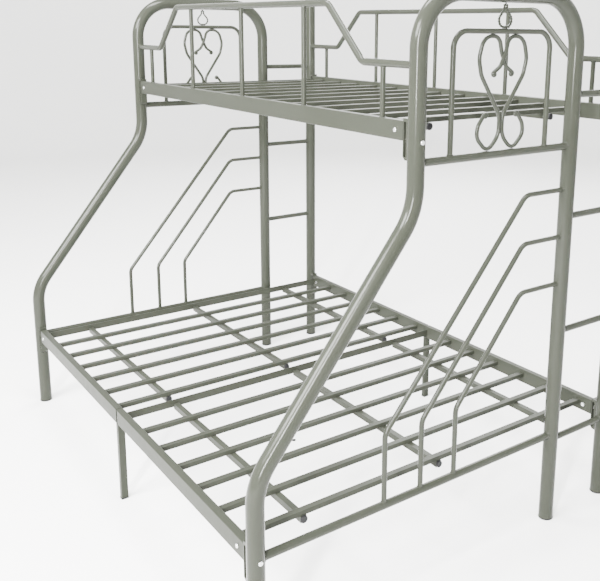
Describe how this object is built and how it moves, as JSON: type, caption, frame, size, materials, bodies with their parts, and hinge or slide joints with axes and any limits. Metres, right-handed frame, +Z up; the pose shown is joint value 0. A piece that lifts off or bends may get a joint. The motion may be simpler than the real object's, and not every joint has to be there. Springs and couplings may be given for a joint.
{
  "type": "bunk bed",
  "caption": "Metal bunk bed with a narrow upper deck over a wider lower deck, arched scrollwork end panels with built-in ladders, slatted decks and guard rails.",
  "frame": {"origin": "on the floor, under the middle of the bed's bounding box", "axes": "+X along the bed towards the foot end panel, +Y across the bed towards the side where both decks and the ladders line up, +Z up"},
  "size_m": [2.008, 1.4929, 1.8624],
  "materials": {
    "frame_paint": "warm grey metallic powder coat, satin",
    "deck_paint": "warm grey metallic powder coat, satin",
    "ornament_paint": "warm grey metallic powder coat, satin",
    "zinc": "bright zinc plate",
    "black_plastic": "matt black moulded"
  },
  "bodies": {
    "root": {"foot_arch_tube": "frame_paint", "foot_cross_rail": "frame_paint", "foot_feet": "black_plastic", "foot_finial": "frame_paint", "foot_inner_arch": "frame_paint", "foot_ladder_post": "frame_paint", "foot_ladder_rungs": "frame_paint", "foot_lower_rail": "frame_paint", "foot_post_bolts": "zinc", "foot_rail_bolts": "zinc", "foot_rail_brackets": "frame_paint", "foot_scroll_front": "ornament_paint", "foot_scroll_rear": "ornament_paint", "foot_side_bars": "frame_paint", "foot_twist_ring": "ornament_paint", "front_guard_balusters": "frame_paint", "front_guard_tube": "frame_paint", "front_joint_sleeve": "deck_paint", "front_middle_leg": "frame_paint", "head_arch_tube": "frame_paint", "head_cross_rail": "frame_paint", "head_feet": "black_plastic", "head_finial": "frame_paint", "head_inner_arch": "frame_paint", "head_ladder_post": "frame_paint", "head_ladder_rungs": "frame_paint", "head_lower_rail": "frame_paint", "head_post_bolts": "zinc", "head_rail_bolts": "zinc", "head_rail_brackets": "frame_paint", "head_scroll_front": "ornament_paint", "head_scroll_rear": "ornament_paint", "head_side_bars": "frame_paint", "head_twist_ring": "ornament_paint", "joint_bolts": "zinc", "lower_foot_angle": "deck_paint", "lower_foot_front_rail": "frame_paint", "lower_foot_rear_rail": "frame_paint", "lower_foot_slats": "deck_paint", "lower_foot_supports": "deck_paint", "lower_head_angle": "deck_paint", "lower_head_front_rail": "frame_paint", "lower_head_rear_rail": "frame_paint", "lower_head_slats": "deck_paint", "lower_head_supports": "deck_paint", "middle_leg_feet": "black_plastic", "rear_guard_balusters": "frame_paint", "rear_guard_tube": "frame_paint", "rear_joint_sleeve": "deck_paint", "rear_middle_leg": "frame_paint", "support_plugs": "black_plastic", "upper_end_angle": "deck_paint", "upper_front_rail": "frame_paint", "upper_rear_rail": "frame_paint", "upper_slats": "deck_paint", "upper_supports": "deck_paint"}
  },
  "joints": []
}
